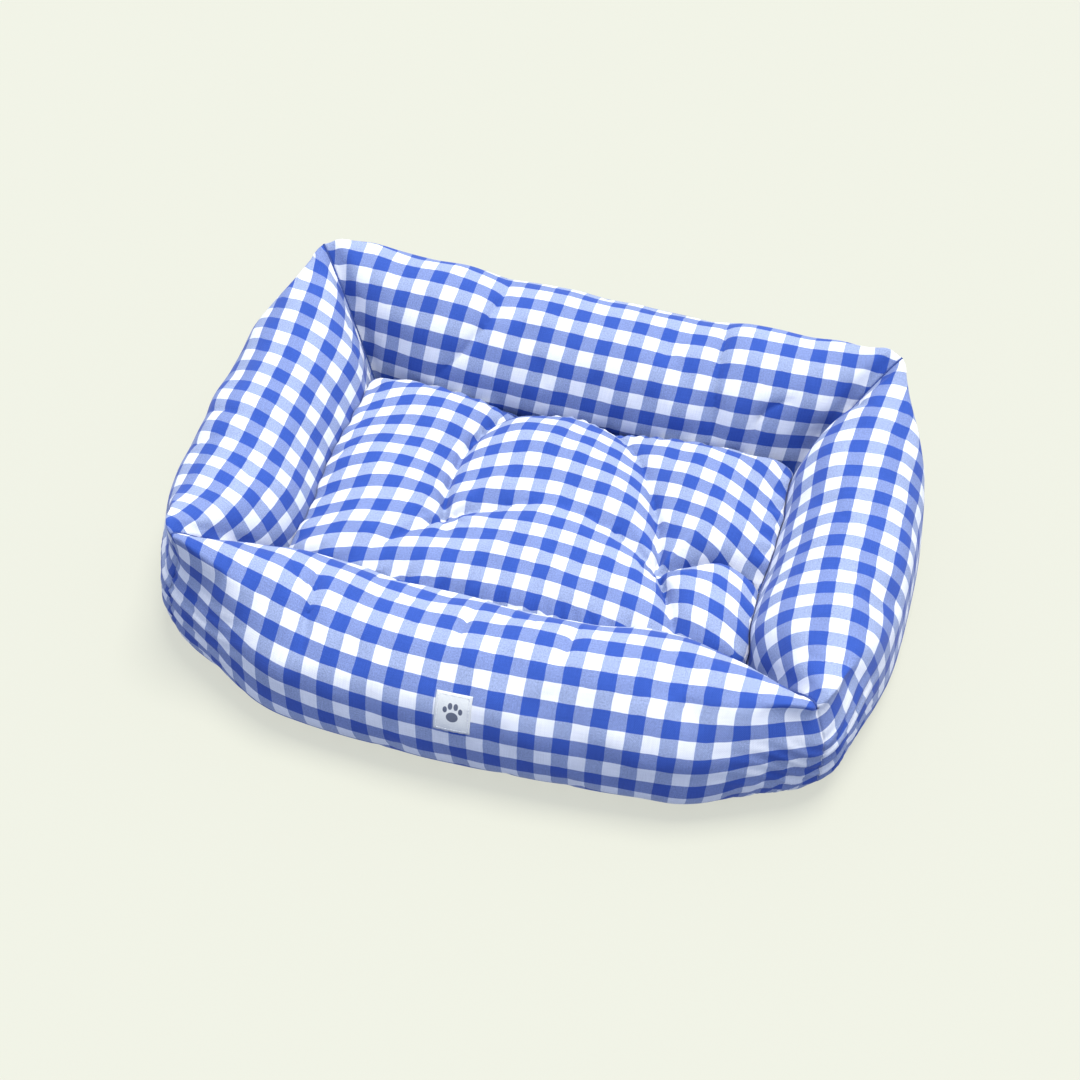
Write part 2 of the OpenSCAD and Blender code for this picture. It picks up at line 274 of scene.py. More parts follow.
SECTION_RUN = WALL_RUN + OUTER_RADIUS * WALL_LEAN + INNER_RADIUS * INNER_SLOPE + INNER_RUN
CREST_RUN = WALL_RUN + OUTER_RADIUS * WALL_LEAN
TIP_RUN = TIP_SHARE * CREST_RUN


def bolster_grid(side, n_along, n_across):
    """Points of a bolster's skin: rows along it, columns from the floor outside over the crest and in."""
    half_len, half_off = (TIP_X, TIP_Y) if side in ("front", "rear") else (TIP_Y, TIP_X)
    u = np.linspace(-1, 1, n_along)[:, None]
    run = np.linspace(0, SECTION_RUN, n_across)[None, :]
    first, second = CORNERS[side]
    ease = smooth((u + 0.6) / 1.2)

    def by_corner(sizes):
        return sizes[first] * (1 - ease) + sizes[second] * ease

    def bellied(height):
        rise = 1 - (1 - np.clip(height / BELLY_RISE, 0, 1)) ** 2
        return rise * smooth((BELLY_TOP - height) / BELLY_FADE) * (run < CREST_RUN)

    tip_up = by_corner(TIP_HEIGHT) - FOOT_Z
    radius = np.where(u < 0, FOOT_RADIUS[first], FOOT_RADIUS[second])
    before = np.clip(1 - run / TIP_RUN, 0, 1)
    after = np.clip((run - TIP_RUN) / (SECTION_RUN - TIP_RUN), 0, 1)
    out, up = section(run)
    mid_out = BULGE[side] - BOW[side]
    bow = BOW[side] * (1 - u ** 2) ** (2 if side == "front" else 1)
    inner_out = out[0, -1] + mid_out
    mitre_up = np.where(run < TIP_RUN, tip_up * (1 - before), tip_up * (1 - after ** 1.2))
    mitre_out = np.where(run < TIP_RUN, CORNER_FOOT * before ** 1.5, inner_out * after)
    mitre_out = mitre_out + by_corner(CORNER_BELLY) * bellied(mitre_up) * (run < TIP_RUN)
    firm = before ** 0.5
    first_taper, second_taper = (crest + (foot - crest) * firm for foot, crest in TAPER[side])
    taper_share = np.where(u < 0, first_taper, second_taper)
    t = np.clip((np.abs(u) - 1 + taper_share) / taper_share, 0, 1)
    taper = smooth(t) * firm + (0.45 * smooth(t) + 0.55 * t ** 3.2) * (1 - firm)
    height = up * (1 - taper) + mitre_up * taper
    end = np.abs(u)
    crest_band = smooth((run - 0.6 * TIP_RUN) / (0.4 * TIP_RUN))
    crest_band = crest_band * smooth((SECTION_RUN - run) / (SECTION_RUN - CREST_RUN))
    height = height + LIFT.get(side, 0) * smooth((end - 0.25) / 0.35) * smooth((1 - end) / 0.06) * crest_band
    beside_tip = smooth((end - 0.62) / 0.2) * smooth((1 - end) / 0.05)
    height = height + np.where(u < 0, EAR.get(first, 0), EAR.get(second, 0)) * beside_tip * crest_band
    height = height - SAG.get(side, 0) * np.exp(-((u - SAG_PLACE) / SAG_WIDTH) ** 2) * crest_band
    offset = (out + mid_out + BELLY[side] * bellied(up)) * (1 - taper) + mitre_out * taper + bow
    offset = offset + SWAY.get(side, 0) * np.sin(math.pi * u) * firm
    inner = np.clip((run - CREST_RUN) / (SECTION_RUN - CREST_RUN), 0, 1)
    offset = offset - INNER_BELLY[side] * (np.sin(math.pi * inner ** 1.4) * (1 - u ** 4)) ** 2
    tuck = np.clip(1 - height / BOTTOM_ROLL, 0, 1) ** 2 * (run < WALL_RUN)
    offset = offset - BOTTOM_TUCK * tuck
    r = radius * np.sqrt(before)
    straight = half_len + mitre_out - r
    length = np.abs(u) * (straight + r * math.pi / 4)
    turn = np.where(r > 0, np.maximum(0, length - straight) / np.maximum(r, 1e-9), 0)
    along = np.sign(u) * (np.minimum(length, straight) + r * np.sin(turn))
    outward = half_off + offset - r * (1 - np.cos(turn))
    ax, ay = ALONG[side]
    return np.stack([along * ax + outward * ay, along * ay - outward * ax, FOOT_Z + height], -1)


# ---------------------------------------------------------------- making meshes

def add_object(name, data):
    thing = bpy.data.objects.new(name, data)
    bpy.context.scene.collection.objects.link(thing)
    return thing


def new_mesh(name, verts, faces):
    mesh = bpy.data.meshes.new(name)
    mesh.from_pydata([tuple(v) for v in verts], [], [tuple(f) for f in faces])
    return mesh


def mesh_piece(name, verts, faces, cloth, uv=None):
    """A smooth-shaded mesh object; uv holds one (along, across) pair for each vertex."""
    mesh = new_mesh(name, verts, faces)
    mesh.validate()
    mesh.polygons.foreach_set("use_smooth", [True] * len(mesh.polygons))
    if uv is not None:
        layer = mesh.uv_layers.new(name="cloth")
        corners = np.zeros(len(mesh.loops), int)
        mesh.loops.foreach_get("vertex_index", corners)
        layer.data.foreach_set("uv", np.asarray(uv, np.float32)[corners].ravel())
    mesh.materials.append(cloth)
    return add_object(name, mesh)


def grid_faces(n, m, start=0, flip=False):
    return quads(start + np.arange(n * m).reshape(n, m), flip).tolist()


SWELL_PRESSURE = 1.5
SWELL_CAP = 0.003         # no point moves further than this
SWELL_SLACK = 0.002       # share by which the cloth is too large
SWELL_FRAMES = 16
CLOTH_STIFFNESS = 15.0


def inflate(name, verts, faces, held):
    """Where the points lie after a short cloth simulation with air pressure inside; held points stay."""
    mesh = new_mesh(name, verts, faces)
    piece = add_object(name, mesh)
    group = piece.vertex_groups.new(name="held")
    group.add(np.flatnonzero(held).tolist(), 1.0, "REPLACE")
    cloth = piece.modifiers.new("cloth", "CLOTH")
    settings = cloth.settings
    settings.quality = 6
    settings.mass = 0.3
    settings.tension_stiffness = settings.compression_stiffness = CLOTH_STIFFNESS
    settings.shear_stiffness = CLOTH_STIFFNESS / 2
    settings.bending_stiffness = 0.5
    settings.air_damping = 2.0
    settings.vertex_group_mass = "held"
    settings.pin_stiffness = 1.0
    settings.shrink_min = -SWELL_SLACK
    settings.use_pressure = True
    settings.uniform_pressure_force = SWELL_PRESSURE
    settings.effector_weights.gravity = 0.0
    cloth.collision_settings.use_collision = False
    cloth.point_cache.frame_start = 1
    cloth.point_cache.frame_end = SWELL_FRAMES
    scene = bpy.context.scene
    for number in range(1, SWELL_FRAMES + 1):
        scene.frame_set(number)
    shaped = piece.evaluated_get(bpy.context.evaluated_depsgraph_get()).to_mesh()
    moved = np.zeros(len(verts) * 3)
    shaped.vertices.foreach_get("co", moved)
    scene.frame_set(1)
    bpy.data.objects.remove(piece)
    bpy.data.meshes.remove(mesh)
    shift = moved.reshape(-1, 3) - verts
    reach = np.linalg.norm(shift, axis=1, keepdims=True)
    print(name, "moved", round(float(reach.max()) * 1000, 1), "mm at most")
    return verts + shift * np.minimum(1, SWELL_CAP / np.maximum(reach, 1e-9))


# ---------------------------------------------------------------- materials

def material(name):
    mat = bpy.data.materials.new(name)
    mat.use_nodes = True
    m = Maths(mat.node_tree)
    return mat, m, m.nodes["Principled BSDF"]


class Maths:
    """Short calls for the nodes that the materials use. Each returns the new node's output."""

    def __init__(self, tree):
        self.nodes, self.links = tree.nodes, tree.links

    def feed(self, node, inputs):
        """Sets a node's inputs to values, or links them to other nodes' outputs."""
        for name, value in inputs.items():
            if isinstance(value, (int, float, tuple)):
                node.inputs[name].default_value = value
            else:
                self.links.new(value, node.inputs[name])

    def make(self, kind, output, inputs, **settings):
        node = self.nodes.new("ShaderNode" + kind)
        for name, value in settings.items():
            setattr(node, name, value)
        self.feed(node, inputs)
        return node.outputs[output]

    def op(self, operation, a, b=0.0):
        return self.make("Math", 0, {0: a, 1: b}, operation=operation)

    def add(self, a, b):
        return self.op("ADD", a, b)

    def sub(self, a, b):
        return self.op("SUBTRACT", a, b)

    def mul(self, a, b):
        return self.op("MULTIPLY", a, b)

    def sine(self, value, factor):
        return self.op("SINE", self.mul(value, factor))

    def mix(self, factor, a, b, blend="MIX"):
        inputs = {"Factor": factor, "A": a, "B": b}
        return self.make("Mix", "Result", inputs, data_type="RGBA", blend_type=blend)

    def ramp(self, value, low, high, to_low=0.0, to_high=1.0):
        inputs = {"Value": value, "From Min": low, "From Max": high, "To Min": to_low, "To Max": to_high}
        return self.make("MapRange", "Result", inputs, interpolation_type="SMOOTHSTEP")

    def noise(self, vector, scale, detail):
        inputs = {"Scale": scale, "Detail": detail, "Roughness": 0.5, "Vector": vector}
        return self.make("TexNoise", "Fac", inputs)

    def stretch(self, vector, scale):
        return self.make("Mapping", "Vector", {"Scale": scale, "Vector": vector})

    def bump(self, height, strength, distance):
        return self.make("Bump", "Normal", {"Strength": strength, "Distance": distance, "Height": height})

    def coords(self, kind):
        return self.make("TexCoord", kind, {})

    def split(self, vector):
        """The three parts of a vector."""
        node = self.nodes.new("ShaderNodeSeparateXYZ")
        self.links.new(vector, node.inputs[0])
        return node.outputs

    def cloth(self):
        """The cloth coordinates, whole and in parts."""
        vector = self.make("UVMap", "UV", {}, uv_map="cloth")
        return vector, self.split(vector)


WHITE_YARN = (0.80, 0.81, 0.84, 1)
BLUE_YARN = (0.028, 0.080, 0.375, 1)
ROW_MIX = (0.185, 0.243, 0.470, 1)
COLUMN_MIX = (0.290, 0.350, 0.535, 1)
THREAD_PITCH = 0.0009
STRIPE_DRIFT = 0.0016    # how far the stripes' edges wander
STRIPE_EDGE = 0.0003     # half width of the blur at a stripe's edge


def gingham(name, shift=(0.0, 0.0)):
    """Plain-woven check on the cloth coordinates: rows run along the piece, columns across it."""
    mat, m, shader = material(name)
    vector, parts = m.cloth()
    drift = m.mul(m.sub(m.noise(vector, 60.0, 1.0), 0.5), STRIPE_DRIFT)
    stripes = []
    for axis in (0, 1):
        place = m.add(m.add(parts[axis], shift[axis]), drift)
        cycle = m.op("PINGPONG", place, CHECK / 2)
        stripes.append(m.ramp(cycle, CHECK / 4 - STRIPE_EDGE, CHECK / 4 + STRIPE_EDGE, 1.0, 0.0))
    column, row = stripes
    colour = m.mix(column, m.mix(row, WHITE_YARN, ROW_MIX), m.mix(row, COLUMN_MIX, BLUE_YARN))
    # each thread lies over and under the next, and is a little thick and thin along its length
    angle = math.pi / THREAD_PITCH
    weave = m.mul(m.sine(parts[0], angle), m.sine(parts[1], angle))
    slub = m.add(*(m.noise(m.stretch(vector, along), 1.0, 1.0) for along in ((1400, 60, 1), (60, 1400, 1))))
    fleck = m.sub(m.noise(vector, 800.0, 1.0), 0.5)
    mixed = m.op("ABSOLUTE", m.sub(row, column))
    blue = m.op("MAXIMUM", row, column)
    speckle = m.add(m.mul(mixed, 0.55), m.add(m.mul(blue, 0.25), 0.06))
    tone = m.add(m.mul(weave, 0.06), m.mul(slub, 0.22))
    tone = m.add(m.add(tone, m.mul(fleck, speckle)), 0.78)
    blotch = m.ramp(m.noise(vector, 14.0, 3.0), 0.3, 0.7, 0.96, 1.03)
    shade = m.mul(tone, blotch)
    grey = m.make("CombineColor", 0, {0: shade, 1: shade, 2: shade})
    colour = m.mix(1.0, colour, grey, "MULTIPLY")
    rough = m.ramp(slub, 0.7, 1.3, 0.95, 0.82)
    height = m.add(m.mul(weave, 0.5), m.mul(slub, 0.8))
    m.feed(shader, {"Base Color": colour, "Roughness": rough, "Normal": m.bump(height, 0.35, 0.0003),
                    "Specular IOR Level": 0.25, "Sheen Weight": 0.12, "Sheen Roughness": 0.5})
    return mat


def plain_cloth(name, colour, pitch):
    """One-coloured woven cloth, on object coordinates."""
    mat, m, shader = material(name)
    coords = m.coords("Object")
    x, y, z = m.split(coords)
    angle = math.pi / pitch
    weave = m.mul(m.sine(x, angle), m.sine(m.add(y, z), angle))
    speck = m.noise(coords, 900.0, 2.0)
    shade = m.ramp(m.add(m.mul(weave, 0.2), speck), 0.2, 0.8)
    dark = tuple(c * 0.82 for c in colour)
    m.feed(shader, {"Base Color": m.mix(shade, dark + (1,), colour + (1,)),
                    "Roughness": m.ramp(speck, 0.3, 0.7, 0.95, 0.8),
                    "Normal": m.bump(m.add(weave, speck), 0.4, 0.0003), "Specular IOR Level": 0.25})
    return mat


# ---------------------------------------------------------------- bolsters

STEP = 0.006
ROLL_LUMPS = ((0.09, 0.0009, 11), (0.045, 0.0005, 12))     # length, height and random seed
MITRE_DEPTH = 0.007      # how far the rolls round off into the seam at each inner corner
MITRE_WIDTH = 0.030
# Creases in the filled rolls, in cloth lengths (along from the middle, across from the foot):
# start, end, how far the middle stands off to the left of the straight line, depth, width
CREASES = {
    "front": [((-0.165, 0.170), (-0.155, 0.095), 0.0, 0.0140, 0.026),
              ((-0.190, 0.170), (-0.140, 0.160), -0.015, 0.0060, 0.014),
              ((-0.150, 0.170), (-0.135, 0.130), 0.0, -0.0050, 0.016),
              ((-0.110, 0.165), (-0.060, 0.170), 0.005, 0.0030, 0.012),
              ((-0.005, 0.170), (0.045, 0.170), 0.005, 0.0030, 0.012),
              ((0.110, 0.170), (0.170, 0.150), 0.005, 0.0030, 0.014),
              ((-0.025, 0.175), (-0.030, 0.130), 0.0, 0.0070, 0.018),
              ((0.065, 0.175), (0.060, 0.130), 0.0, 0.0065, 0.018)],
    "right": [((-0.150, 0.120), (-0.150, 0.170), 0.010, 0.0030, 0.018),
              ((0.170, 0.195), (0.140, 0.150), -0.005, 0.0045, 0.020)],
    "rear": [((0.095, 0.120), (0.140, 0.245), 0.015, 0.0100, 0.026),
             ((-0.120, 0.115), (-0.130, 0.245), 0.0, 0.0090, 0.022),
             ((-0.195, 0.200), (-0.170, 0.240), -0.010, 0.0065, 0.018)],
    "left": [((0.005, 0.085), (0.025, 0.145), 0.0, 0.0045, 0.020),
             ((0.050, 0.145), (0.055, 0.090), 0.0, 0.0040, 0.018),
             ((0.080, 0.150), (0.100, 0.190), 0.0, 0.0040, 0.018),
             ((-0.150, 0.190), (-0.100, 0.235), -0.010, 0.0030, 0.018)]}
# How the woven check lies on the rolls, in coarse steps, with lengths from each roll's middle and crest.
# Per side: slant and curl of the columns, spread and bend of the rows
PITCH_ALONG, PITCH_ACROSS = 1.05, 0.95
LAY = {"front": (0.0, 0.5, -0.5, 0.3), "right": (-0.1, -0.5, 0.5, -0.3),
       "rear": (0.0, 0.5, 0.5, 0.0), "left": (0.3, -2.0, 1.0, -0.3)}
# Where a blue column and a blue row are centred
BLUE_AT = {"front": (0.015, 0.030), "right": (0.005, 0.010), "rear": (0.015, 0.0), "left": (0.020, 0.005)}
CORNER_FADE = 0.32
STRAIGHT_BELOW = -0.05    # on the unseen outer walls the columns run straight down from here
# Below each tip the rows bunch up round the corner, over this length of cloth on both sides of it
GATHER = {"front_left": 0.30, "front_right": 0.38, "rear_right": 0.08, "rear_left": 0.08}
GATHER_REACH = 0.105
GATHER_FOLD = 0.0125     # one fold of the bunched cloth
GATHER_DEPTH = 0.0075
# The cloth is drawn into a pit at two of the tips: depth and radius
PINCH = {"front_right": (0.017, 0.032), "front_left": (0.009, 0.020)}
PINCH_DOWN = 0.70        # the pull points down as well as inwards


def odd(length, step):
    """An odd number of points with about that step."""
    return 2 * round(length / step / 2) + 1


def skin_places(n, m, half_len):
    """Length along the section of each column, and how far each row is from the nearer end."""
    run = np.linspace(0, SECTION_RUN, m)[None, :]
    return run, (1 - np.abs(np.linspace(-1, 1, n)))[:, None] * half_len


def sculpt_bolster(grid):
    """Lumps of the filling under the cover, weaker where the wall is pulled tight near the floor."""
    n = len(grid)
    edge = np.minimum(1, (1 - np.abs(np.linspace(-1, 1, n)[:, None])) * 6)
    loose = 0.35 + 0.65 * smooth((grid[..., 2] - 0.03) / 0.06)
    return grid + grid_normals(grid) * (lumpy(grid, ROLL_LUMPS) * edge * loose)[..., None]


def crease_bolster(side, grid, cloth, half_len):
    """Creases of the cover, and the rounding of the roll into the seams at its inner corners."""
    run, from_end = skin_places(*grid.shape[:2], half_len)
    depth = MITRE_DEPTH * smooth((run - TIP_RUN) / 0.05) * crease(from_end, MITRE_WIDTH)
    for start, end, bow, deep, width in CREASES[side]:
        distance, share = path_distance(cloth, bowed(start, end, bow))
        fade = np.sin(math.pi * np.clip(share, 0.05, 0.95)) ** 0.5
        fold = deep * fade * crease(distance, width)
        depth = np.maximum(depth, fold) if deep > 0 else depth + deep * fade * smooth(1 - distance / width)
    free = smooth(from_end / 0.012)
    return grid - grid_normals(grid) * (depth * free)[..., None]


def close_bolster(grid, uv):
    """Vertices, faces and cloth coordinates of a bolster with its underside and its mitred ends closed."""
    n, m = grid.shape[:2]
    index = np.arange(n * m).reshape(n, m)
    under = np.linspace(0, 1, 7)[1:-1]
    strip = grid[:, -1, None] * (1 - under[None, :, None]) + grid[:, 0, None] * under[None, :, None]
    strip_uv = uv[:, -1, None] + np.array([0, 1]) * under[None, :, None] * 0.1
    verts = [grid.reshape(-1, 3), strip.reshape(-1, 3)]
    coords = [uv.reshape(-1, 2), strip_uv.reshape(-1, 2)]
    strip_index = n * m + np.arange(n * len(under)).reshape(n, len(under))
    ring = np.concatenate([index[:, -1:], strip_index, index[:, :1]], 1)
    faces = quads(index).tolist() + quads(ring).tolist()
    count = n * m + n * len(under)
    for end in (0, -1):
        loop = np.concatenate([index[end], strip_index[end]])
        points = np.concatenate([grid[end], strip[end]])
        verts.append(points.mean(0)[None])
        coords.append(uv[end].mean(0)[None])
        for k in range(len(loop)):
            pair = (loop[k], loop[(k + 1) % len(loop)])
            faces.append([pair[1], pair[0], count] if end == -1 else [pair[0], pair[1], count])
        count += 1
    return np.concatenate(verts), faces, np.concatenate(coords)


def corner_share(side, along, half_len):
    """How near each point is to a corner, 0 to 1, and that corner's gathering."""
    first, second = CORNERS[side]
    near = smooth((np.abs(along) - (half_len - GATHER_REACH)) / GATHER_REACH)
    return near, np.where(along < 0, GATHER[first], GATHER[second])


def gather_folds(side, grid, cloth, half_len):
    """Level folds of the cloth that is bunched up below the tips."""
    near, amount = corner_share(side, cloth[..., 0], half_len)
    below = smooth((TIP_RUN - cloth[..., 1]) / 0.030) * smooth(cloth[..., 1] / 0.015)
    wander = 0.006 * np.sin(cloth[..., 0] / 0.021) + 0.010 * near
    fold = np.sin(2 * math.pi * (cloth[..., 1] + wander) / GATHER_FOLD)
    return grid - grid_normals(grid) * (GATHER_DEPTH * amount * near * below * (0.5 - 0.5 * fold))[..., None]


def pinch_tips(side, grid):
    """Draws the cloth into a pit at the tips that have one."""
    tip = round((grid.shape[1] - 1) * TIP_RUN / SECTION_RUN)
    for corner, end in zip(CORNERS[side], (0, -1)):
        if corner in PINCH:
            deep, radius = PINCH[corner]
            middle = grid[end, tip]
            inward = unit(np.array([-middle[0], -middle[1], -PINCH_DOWN]))
            distance = np.linalg.norm(grid - middle, axis=-1)
            grid = grid + inward * (deep * crease(distance, radius))[..., None]
    return grid


def shape_bolster(side):
    """A bolster's skin, and where each of its points lies on the cloth."""
    half_len = TIP_X if side in ("front", "rear") else TIP_Y
    n = odd(2 * (half_len + 0.01), STEP)
    m = odd(SECTION_RUN, STEP)
    base = sculpt_bolster(bolster_grid(side, n, m))
    held = np.zeros((n, m))
    held[0], held[-1], held[:, 0], held[:, -1] = 1, 1, 1, 1
    swollen = inflate(side, base.reshape(-1, 3), grid_faces(n, m), held.ravel())
    run, from_end = skin_places(n, m, half_len)
    round_corner = smooth((TIP_RUN - run) / 0.02) * (1 - smooth(from_end / 0.06))
    base = base + (swollen.reshape(n, m, 3) - base) * (1 - round_corner)[..., None]
    flat = refine(flatten(base[::2, ::2]))
    crest = round((m - 1) * CREST_RUN / SECTION_RUN)
    flat[..., 1] += CREST_RUN - flat[n // 2, crest, 1]
    cloth = refine(flat)
    grid = crease_bolster(side, refine(base), cloth, half_len)
    grid = pinch_tips(side, gather_folds(side, grid, cloth, half_len))
    along, across = cloth[..., 0], cloth[..., 1] - CREST_RUN
    near, amount = corner_share(side, along, half_len)
    slant, curl, spread, bend = LAY[side]
    turned = across if side == "front" else np.maximum(across, STRAIGHT_BELOW)
    check_u = along * PITCH_ALONG - slant * turned - curl * turned ** 2
    check_v = CREST_RUN + across * PITCH_ACROSS + spread * across ** 2 - bend * along ** 2
    check_v -= amount * near * np.maximum(0, TIP_RUN - cloth[..., 1])
    return grid, np.stack([check_u, check_v], -1)


def match_corners(skins):
    """Shifts the check near each corner so that it runs on round the outside from one bolster to the next."""
    for k, side in enumerate(SIDES):
        after = SIDES[(k + 1) % 4]
        (_, uv), (_, next_uv) = skins[side], skins[after]
        n, m = uv.shape[:2]
        run = np.linspace(0, SECTION_RUN, m)
        outside = 1 - smooth((run - TIP_RUN + 0.02) / 0.03)
        for axis in (0, 1):
            step = (next_uv[0, :, axis] - BLUE_AT[after][axis]) - (uv[-1, :, axis] - BLUE_AT[side][axis])
            step -= CHECK * round(step[m // 4] / CHECK)
            for sheet, sign, ends in ((uv, 1, -1), (next_uv, -1, 1)):
                u = np.linspace(-1, 1, len(sheet))[:, None] * -ends
                fade = smooth((u - (1 - CORNER_FADE)) / CORNER_FADE)
                sheet[..., axis] += sign * fade * (step * outside)[None, :] / 2


def make_bolster(side, grid, uv):
    verts, faces, coords = close_bolster(grid, uv)
    shift = (-BLUE_AT[side][0], -BLUE_AT[side][1])
    piece = mesh_piece(side + "_bolster", verts, faces, gingham("gingham_" + side, shift), coords)
    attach(piece, "bed")
    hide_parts(side + "_bolster_cover", side + "_bolster_fill")


skins = {side: shape_bolster(side) for side in SIDES}
match_corners(skins)
for side, (grid, uv) in skins.items():
    make_bolster(side, grid, uv)


# ---------------------------------------------------------------- cushion

edge_low, edge_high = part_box("cushion_edge_seam")
EDGE_X, EDGE_Y = edge_high.x, edge_high.y
EDGE_Z = (edge_low.z + edge_high.z) / 2 + 0.002
CROWN_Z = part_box("cushion_top_panel")[1].z + 0.003
CUSHION_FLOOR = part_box("cushion_bottom_panel")[0].z
CUSHION_STEP = 0.0036
PAD_LUMPS = ((0.075, 0.0016, 21), (0.03, 0.0005, 22))
WALL_GAP = 0.0010
SPREAD = (1.05, 1.12, 0.955)          # plan size against the seam's box: sideways, to the front, to the rear
CORNER_POWER = (9, 12)                # how square the front and rear corners are
TUFTS = [(-0.085, -0.050), (0.115, -0.055)]
TUFT_DEPTH = 0.036
TUFT_WIDTH = 0.055
PUCKERS = 9                           # short gathers round each tuft
PUCKER_DEPTH = 0.0013
# Valleys between the lobes of filling: start, end, bow to the left, depth at the start and at the end, width
BETWEEN_TUFTS = 2                     # the third one is the fold between the tufts
VALLEYS = [
    (TUFTS[0], (-0.060, 0.120), 0.020, 0.035, 0.034, 0.078),
    (TUFTS[1], (0.030, 0.120), -0.015, 0.034, 0.018, 0.070),
    (TUFTS[0], TUFTS[1], 0.035, 0.028, 0.028, 0.062),
    (TUFTS[0], (-0.135, -0.110), 0.0, 0.030, 0.006, 0.060),
    (TUFTS[1], (0.150, -0.130), 0.0, 0.032, 0.018, 0.055),
    (TUFTS[1], (0.220, -0.040), 0.020, 0.036, 0.056, 0.046)]
LAST_VALLEY = bowed(*VALLEYS[-1][:3])
REAR_DROP = 0.0055                    # the pad is this much lower along its rear edge
EDGE_GATHER = 0.017                   # one small gather of the top panel into its edge seam
EDGE_RIPPLE = 0.0016
EDGE_NOTCH = 0.35                     # how strongly a valley draws the edge in
OVERLAP = 0.009                       # the front lobe on the right leans back over the last valley
OVERLAP_REACH = 0.030
FOLD_MIDDLE = 0.75                    # share of its depth that the fold between the tufts loses half way
CROWN = (5, 0.52)                     # how flat the top is, and how round it falls to the edge


def cushion_plan(n, m):
    """Plan of the cushion as a grid, and how far out each point is: 0 in the middle, 1 on the edge."""
    p, q = np.meshgrid(np.linspace(-1, 1, n), np.linspace(-1, 1, m), indexing="ij")
    reach = np.maximum(np.abs(p), np.abs(q))
    ratio = np.minimum(np.abs(p), np.abs(q)) / np.maximum(reach, 1e-9)
    power = np.where(q < 0, CORNER_POWER[0], CORNER_POWER[1])
    pull = 1 - (1 - (1 + ratio ** power) ** (-1 / power)) * reach ** 4
    spread_y = np.where(q < 0, SPREAD[1], SPREAD[2])
    return p * pull * EDGE_X * SPREAD[0], q * pull * EDGE_Y * spread_y, reach


def cushion_valleys(plan):
    """How deep the quilted valleys are at each point of the plan."""
    valley = np.zeros(plan.shape[:-1])
    for number, (start, end, bow, deep, end_deep, width) in enumerate(VALLEYS):
        distance, share = path_distance(plan, bowed(start, end, bow))
        depth = deep + (end_deep - deep) * share
        if number == BETWEEN_TUFTS:
            depth = depth * (1 - FOLD_MIDDLE * np.sin(math.pi * share) ** 2)
        valley = np.maximum(valley, depth * crease(distance, width))
    for number, tuft in enumerate(TUFTS):
        away = plan - np.array(tuft)
        distance = np.linalg.norm(away, axis=-1)
        angle = np.arctan2(away[..., 1], away[..., 0])
        pit = TUFT_DEPTH * crease(distance, TUFT_WIDTH) ** 0.9
        ripple = np.sin(angle * PUCKERS + 1.3 * np.sin(2 * angle + number))
        gather = PUCKER_DEPTH * ripple * np.exp(-((distance - 0.016) / 0.014) ** 2)
        valley = np.maximum(valley, pit) + gather
    return valley


def push_off_walls(grid, tree):
    """Moves points out of the bolsters, so the cushion's sides lie against the nest walls."""
    points = grid.reshape(-1, 3)
    for k, point in enumerate(points):
        place, normal, _, distance = tree.find_nearest(Vector(point))
        inside = (Vector(point) - place).dot(normal)
        if distance < 0.05 and inside < WALL_GAP:
            points[k] = np.array(place + normal * WALL_GAP)
    return points.reshape(grid.shape)


def nest_tree():
    """Search tree of the inner faces of the four bolsters."""
    verts, faces, start = [], [], 0
    for grid, _ in skins.values():
        inner = grid[:, round(grid.shape[1] * 0.5):]
        verts.append(inner.reshape(-1, 3))
        faces += grid_faces(*inner.shape[:2], start)
        start += inner.shape[0] * inner.shape[1]
    return BVHTree.FromPolygons(np.concatenate(verts).tolist(), faces)


def cushion_grids(n, m):
    """Points of the cushion's top and bottom, before they are moved off the walls."""
    x, y, reach = cushion_plan(n, m)
    valley = cushion_valleys(np.stack([x, y], -1))
    notch = 1 - EDGE_NOTCH * valley * reach ** 6 / np.maximum(np.hypot(x, y), 0.05)
    x, y = x * notch, y * notch
    crown = (1 - reach ** CROWN[0]) ** CROWN[1]
    top = EDGE_Z + (CROWN_Z - EDGE_Z) * crown - valley * crown ** 0.5
    top = top - REAR_DROP * smooth((y + 0.02) / (EDGE_Y + 0.02)) * crown ** 0.5
    in_front = np.interp(x, LAST_VALLEY[:, 0], LAST_VALLEY[:, 1]) - y
    lean = np.sin(math.pi * np.clip(in_front / OVERLAP_REACH, 0, 1)) ** 2
    lean = lean * smooth((x - TUFTS[1][0] - 0.015) / 0.04)
    lean_y = y + OVERLAP * lean * crown ** 0.5
    bottom = EDGE_Z - (EDGE_Z - CUSHION_FLOOR) * (1 - reach ** 8) ** 0.5
    top_grid, bottom_grid = np.stack([x, lean_y, top], -1), np.stack([x, y, bottom], -1)
    top_grid[..., 2] += lumpy(top_grid, PAD_LUMPS) * crown
    around = np.arctan2(y, x) * 0.5 * (EDGE_X + EDGE_Y)
    ripple = np.sin(2 * math.pi * around / EDGE_GATHER + 2.2 * np.sin(around / 0.031))
    rim = np.exp(-((reach - 0.93) / 0.05) ** 2)
    top_grid[..., 2] += EDGE_RIPPLE * ripple * rim
    return top_grid, bottom_grid


